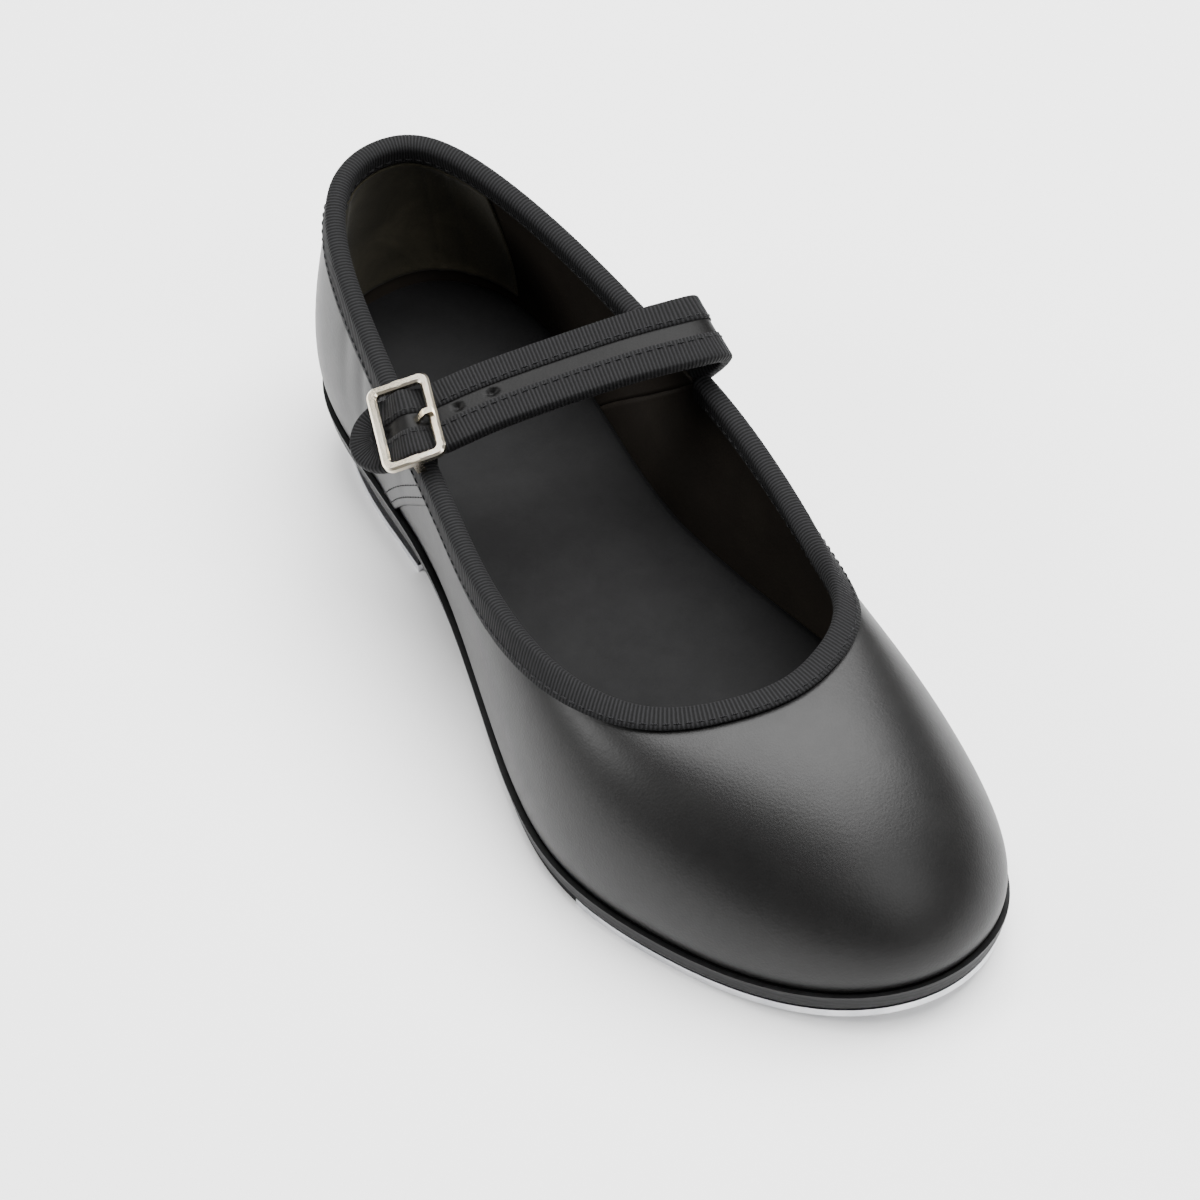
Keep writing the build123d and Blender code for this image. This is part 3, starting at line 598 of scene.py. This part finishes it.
# sock laid over the foam, its edge turned down against the lining
SOCK_TOP, SOCK_DEPTH = 6.95, 1.3         # its top over the outsole's, and its thickness
SOCK_T, WALL_DEPTH = 0.145, 3.05         # where its edge meets the wall of the shoe
sock_top, sock_low = [], []
for k in range(1, 120):
    wall_a, wall_b = skin(k / 12, SOCK_T, WALL_DEPTH), skin(RING - k / 12, SOCK_T, WALL_DEPTH)
    top_row, low_row = [], []
    for r in np.linspace(-1.0, 1.0, 41):
        spot = wall_a + (wall_b - wall_a) * (r + 1) / 2
        spot[2] = sole_top(spot[1]) + SOCK_TOP + 0.12 * wobble(spot[0] / 9, spot[1] / 11, 0, 3)
        spot[2] -= 0.5 * ease((abs(r) - 0.93) / 0.07)
        top_row.append(spot)
        low_row.append(spot - np.array([0, 0, SOCK_DEPTH]))
    sock_top.append(top_row)
    sock_low.append(low_row)
sock = closed_sheet("sock_cover", sock_top, sock_low)
finish_piece(sock, "sock", "root", "sock_lining")

# elastic that holds the buckle's bar, a fixed copy of the CAD tab
tab = bpy.data.objects.new("elastic_loop", frame["nodes"]["elastic_tab"].data.copy())
bpy.context.scene.collection.objects.link(tab)
dress(tab, "elastic")
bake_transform(tab)
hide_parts("elastic_tab")


# ---------------------------------------------------------- ribbon over the topline
def rounded_legs(leg_out, leg_in, outside, inside, top, count=7):
    """Section of a folded ribbon: outer leg, round fold, inner leg, as (depth, fall) pairs."""
    middle, radius = (outside + inside) / 2, (inside - outside) / 2
    path = [(outside, leg_out * (1 - k / 4)) for k in range(4)]
    for k in range(count + 1):
        a = math.pi * k / count
        path.append((middle - radius * math.cos(a), -top * math.sin(a)))
    path += [(inside, leg_in * (k + 1) / 4) for k in range(4)]
    return path


def folded_section(leg_out, leg_in, outside, inside, top, thick):
    """Closed section of a folded ribbon of one thickness, its outer half first."""
    outer = rounded_legs(leg_out, leg_in, outside - thick, inside + thick, top + thick)
    inner = rounded_legs(leg_out, leg_in, outside, inside, top)
    return outer + inner[::-1]


TOP_US = np.linspace(STRAP_FOOT[1] - RING - 0.03, STRAP_FOOT[0] + 0.03, 900)
TOP_LENGTHS = arc_table(np.array([upper(u, 1.0) for u in TOP_US]))
DROP_TS = np.linspace(1.0, 0.6, 21)


def drop_table(u):
    """Length down the skin from the topline at each of DROP_TS."""
    return arc_table(np.array([upper(u, t) for t in DROP_TS]))


def ribbon_spot(u, depth, fall, drops):
    """Point under (depth) the skin and below (fall) the topline; a negative fall is above it."""
    if fall >= 0:
        return skin(u, float(np.interp(fall, drops, DROP_TS)), depth)
    up = upper(u, 1.0) - upper(u, 0.97)
    return skin(u, 1.0, depth) - up * (fall / np.linalg.norm(up))


RIBBON_FACES = (-0.5, LINING_DEPTH + LINING + 0.25)      # its inner faces, as depths in the skin
RIBBON_STEP, RIB_PITCH, RIB_HEIGHT = 0.45, 0.9, 0.07
UV_STEP = 0.0008                                         # from one point of a section to the next
section = folded_section(BINDING_LEG, BINDING_LEG - 1, *RIBBON_FACES, 0.9, 0.65)
rings, ring_uv = [], []
for length in np.arange(0, TOP_LENGTHS[-1], RIBBON_STEP):
    u = float(np.interp(length, TOP_LENGTHS, TOP_US))
    drops = drop_table(u)
    rib = RIB_HEIGHT * math.cos(2 * math.pi * length / RIB_PITCH)
    sway = 0.25 * wobble(length / 14, 0.3, 0, 9)
    ring, uv = [], []
    for k, (depth, fall) in enumerate(section):
        ribbing = -math.copysign(rib, depth - 1) if k < len(section) // 2 else 0.0
        sway_here = sway if fall > 3 else 0.0
        ring.append(ribbon_spot(u, depth + ribbing, fall + sway_here, drops))
        uv.append((length * MM, k * UV_STEP))
    rings.append(ring)
    ring_uv.append(uv)
binding = tube_loft("topline_ribbon", rings, ring_uv)
finish_piece(binding, "ribbon", "root", "topline_binding")


# ---------------------------------------------------------- stitches
STITCH_RADIUS, STITCH_GAP, STITCH_RINGS, STITCH_SIDES = 0.2, 0.8, 6, 6


def add_stitch(points, faces, start, end, normal):
    """One thread length lying on the surface, its ends sinking in."""
    axis = end - start
    side = np.cross(normal, axis)
    side /= np.linalg.norm(side)
    base = len(points)
    for i in range(STITCH_RINGS):
        f = i / (STITCH_RINGS - 1)
        r = STITCH_RADIUS * math.sin(math.pi * (0.12 + 0.76 * f)) ** 0.5
        rise = STITCH_RADIUS * 0.9 * math.sin(math.pi * f) - 0.08
        centre = start + axis * f + normal * rise
        for k in range(STITCH_SIDES):
            a = 2 * math.pi * k / STITCH_SIDES
            points.append(to_scene(centre + side * r * math.cos(a) + normal * r * math.sin(a)))
    for i in range(STITCH_RINGS - 1):
        for k in range(STITCH_SIDES):
            a = base + i * STITCH_SIDES + k
            b = base + i * STITCH_SIDES + (k + 1) % STITCH_SIDES
            faces.append((a, b, b + STITCH_SIDES, a + STITCH_SIDES))
    last = base + (STITCH_RINGS - 1) * STITCH_SIDES
    faces.append(tuple(base + k for k in range(STITCH_SIDES))[::-1])
    faces.append(tuple(last + k for k in range(STITCH_SIDES)))


def stitch_row(name, path, normals, body, pitch=2.5):
    """Row of stitches along a path of points, one object."""
    path = np.array(path)
    lengths = arc_table(path)
    points, faces = [], []
    at = 0.6
    while at + pitch < lengths[-1]:
        ends = []
        for spot in (at, at + pitch - STITCH_GAP):
            ends.append(np.array([np.interp(spot, lengths, path[:, c]) for c in range(3)]))
        i = int(np.searchsorted(lengths, at + pitch / 2))
        normal = normals[min(i, len(normals) - 1)]
        add_stitch(points, faces, ends[0], ends[1], normal / np.linalg.norm(normal))
        at += pitch
    obj = make_object(name, points, faces)
    return finish_piece(obj, "thread", body)


row_path, inside_path, row_normals = [], [], []
for u in TOP_US[4:-4:3]:
    drops = drop_table(u)
    row_path.append(ribbon_spot(u, -1.12, BINDING_LEG - 1.1, drops))
    inside_path.append(ribbon_spot(u, LINING_DEPTH + LINING + 0.97, BINDING_LEG - 2.3, drops))
    row_normals.append(upper_normal(u, 0.95))
stitch_row("topline_stitches", row_path, row_normals, "root")
stitch_row("topline_stitches_inside", inside_path, [-n for n in row_normals], "root")


def seam_stitches(name, seam, direction, lift_of):
    """Two rows behind the lapped edge of a quarter."""
    for number, back in enumerate((0.10, 0.231)):
        path, normals = [], []
        for t in np.linspace(0.02, 0.88, 60):
            u = seam_u(seam, t) + direction * (LAP - back)
            path.append(skin(u, t, -lift_of(u, t, 0) - relief(u, t, 3)))
            normals.append(upper_normal(u, t))
        stitch_row(f"{name}_{number + 1}", path, normals, "root", 2.4)


seam_stitches("lateral_seam_stitches", LATERAL_SEAM, 1, lateral_lift)
seam_stitches("medial_seam_stitches", MEDIAL_SEAM, -1, medial_lift)
STAY_TS = np.linspace(0.03, 0.86, 60)
for side, letter in ((-1, "a"), (1, "b")):
    path = [skin(side * (0.17 - 0.05 * t), t, -1.25) for t in STAY_TS]
    normals = [upper_normal(side * 0.1, t) for t in STAY_TS]
    stitch_row(f"back_stay_stitches_{letter}", path, normals, "root")

# ---------------------------------------------------------- strap
HALF = STRAP_W / 2
STRAP_START = -2.2                       # hidden end, inside the medial topline
ROUND_START = STRAP_END - HALF


def strap_half(s, half):
    """Half width at s: full up to the rounded tip."""
    start = STRAP_END - half
    if s <= start:
        return half
    return half * math.sqrt(max(0.0, 1 - ((s - start) / half) ** 2))


def strap_steps():
    steps = list(np.arange(STRAP_START, ROUND_START, 0.8))
    return steps + [ROUND_START + HALF * math.sin(math.radians(a)) for a in np.arange(0, 88, 5)]


def hole_depth(s, w):
    """Dimple of a punched hole."""
    dip = 0.0
    for number in (-1, 0, 1, 2):
        centre = BUCKLE_S - HOLE_FROM_BAR - number * HOLE_PITCH
        distance = math.hypot(s - centre, w)
        dip = max(dip, HOLE_DEPTH * (1 - ease((distance - HOLE_RADIUS) / 0.45)))
    return dip


def strap_sheet(name, low, high, half, punched, slot, node):
    """Layer of the strap between two heights; the punched one is also crowned."""
    outer, inner, uv = [], [], []
    for s in strap_steps():
        w_half = strap_half(s, half)
        outer_row, inner_row, uv_row = [], [], []
        for k in np.linspace(-1, 1, 41):
            w = k * w_half
            crown = 0.35 * (1 - (w / half) ** 2) if punched else 0.0
            dip = hole_depth(s, w) if punched else 0.0
            outer_row.append(strap_point(s, w, high + crown - dip))
            inner_row.append(strap_point(s, w, low))
            uv_row.append((s * MM, w * MM))
        outer.append(outer_row)
        inner.append(inner_row)
        uv.append(uv_row)
    return finish_piece(closed_sheet(name, outer, inner, uv), slot, "strap", node)


strap_sheet("strap_top_leather", 0.1, 1.2, HALF, True, "strap_leather", "strap_outer")
strap_sheet("strap_back_lining", -0.8, -0.02, HALF - 0.1, False, "lining", "strap_lining")


def edge_path():
    """(s, w, outward s, outward w) round the strap, close enough for the ribs."""
    step = 0.5
    straight = list(np.arange(STRAP_START, ROUND_START, step))
    path = [(s, -HALF, 0.0, -1.0) for s in straight]
    for a in np.linspace(-90, 90, int(math.pi * HALF / step)):
        c, n = math.cos(math.radians(a)), math.sin(math.radians(a))
        path.append((ROUND_START + HALF * c, HALF * n, c, n))
    return path + [(s, HALF, 0.0, 1.0) for s in reversed(straight)]


# the ribbon's section round the strap's edge, as (out of the edge, above the middle surface)
EDGE_PATH = edge_path()
TOP_LEG, LOW_LEG = 6.0, 4.4
TOP_N, LOW_N, RIBBON_T = 1.3, -0.95, 0.6
MIDDLE_N, EDGE_RADIUS = (TOP_N + LOW_N) / 2, (TOP_N - LOW_N) / 2 + RIBBON_T
outside = [(-LOW_LEG * (1 - k / 5), LOW_N - RIBBON_T) for k in range(5)]
for k in range(9):
    a = -math.pi / 2 + math.pi * k / 8
    outside.append((0.2 + 0.7 * math.cos(a), MIDDLE_N + EDGE_RADIUS * math.sin(a)))
outside += [(-TOP_LEG * (k + 1) / 5, TOP_N + RIBBON_T) for k in range(5)]
inside = [(-TOP_LEG, TOP_N), (-TOP_LEG * 0.6, TOP_N), (-TOP_LEG * 0.2, TOP_N), (0.05, TOP_N - 0.1),
          (0.05, LOW_N + 0.1), (-LOW_LEG * 0.2, LOW_N), (-LOW_LEG * 0.6, LOW_N), (-LOW_LEG, LOW_N)]
EDGE_RIB_PITCH, EDGE_RIB_HEIGHT = 0.95, 0.045
edge_points = np.array([strap_point(s, w, 0) for s, w, out_s, out_w in EDGE_PATH])
rings, ring_uv = [], []
for travelled, (s, w, out_s, out_w) in zip(arc_table(edge_points), EDGE_PATH):
    rib = EDGE_RIB_HEIGHT * math.cos(2 * math.pi * travelled / EDGE_RIB_PITCH)
    ring, uv = [], []
    for k, (a, n) in enumerate(outside + inside):
        lift = rib * (1 if n > 0 else -1) if k < len(outside) else 0.0
        ring.append(strap_point(s + out_s * a, w + out_w * a, n + lift))
        uv.append((travelled * MM, k * UV_STEP))
    rings.append(ring)
    ring_uv.append(uv)
strap_ribbon = tube_loft("strap_ribbon", rings, ring_uv)
finish_piece(strap_ribbon, "ribbon", "strap", "strap_binding")

row_path, row_normals = [], []
for s, w, out_s, out_w in EDGE_PATH[::2]:
    row_path.append(strap_point(s - out_s * 4.9, w - out_w * 4.9, TOP_N + 0.66))
    row_normals.append(strap_axes(s)[3])
stitch_row("strap_stitches", row_path, row_normals, "strap")

# ---------------------------------------------------------- floor, light, camera
def area_light(name, location, target, size, energy):
    data = bpy.data.lights.new(name, "AREA")
    data.shape = "RECTANGLE"
    data.size, data.size_y = size
    data.energy = energy
    light = bpy.data.objects.new(name, data)
    bpy.context.scene.collection.objects.link(light)
    light.location = location
    towards = Vector(target) - Vector(location)
    light.rotation_euler = towards.to_track_quat("-Z", "Y").to_euler()


FLOOR_HALF = 6.0
floor_mesh = bpy.data.meshes.new("floor")
corner_signs = ((-1, -1), (1, -1), (1, 1), (-1, 1))
floor_corners = [(x * FLOOR_HALF, y * FLOOR_HALF, 0) for x, y in corner_signs]
floor_mesh.from_pydata(floor_corners, [], [(0, 1, 2, 3)])
floor = bpy.data.objects.new("floor", floor_mesh)
bpy.context.scene.collection.objects.link(floor)
floor_material, _, floor_shader = new_material("pale_floor")
floor_shader.inputs["Base Color"].default_value = (0.93, 0.93, 0.93, 1)
floor_shader.inputs["Roughness"].default_value = 0.9
floor_mesh.materials.append(floor_material)
CENTRE = (0.0, 0.0, 0.03)
area_light("overhead_softbox", (0.40, 0.20, 1.35), CENTRE, (1.5, 1.5), 92)
area_light("left_softbox", (-1.3, 0.6, 0.9), CENTRE, (0.8, 0.5), 20)
area_light("front_fill", (0.3, -1.4, 1.3), CENTRE, (1.2, 0.8), 16)
world = bpy.data.worlds.new("studio")
bpy.context.scene.world = world
world.use_nodes = True
world.node_tree.nodes["Background"].inputs["Color"].default_value = (1, 1, 1, 1)
world.node_tree.nodes["Background"].inputs["Strength"].default_value = 0.30

CAMERA_AT = Vector((-0.28776, -0.52546, 0.64003))
CAMERA_UP = Vector((0.38384, 0.60897, 0.69413))
AIM = Vector((-0.003, 0.002, 0.024))
LENS = 112.0
camera_data = bpy.data.cameras.new("camera")
camera_data.lens = LENS
camera_data.sensor_width = 36.0
camera_data.clip_start = 0.01
camera = bpy.data.objects.new("camera", camera_data)
bpy.context.scene.collection.objects.link(camera)
back = (CAMERA_AT - AIM).normalized()
right = CAMERA_UP.cross(back).normalized()
up = back.cross(right)
rotation = Matrix((right, up, back)).transposed()
camera.matrix_world = Matrix.Translation(CAMERA_AT) @ rotation.to_4x4()
bpy.context.scene.camera = camera
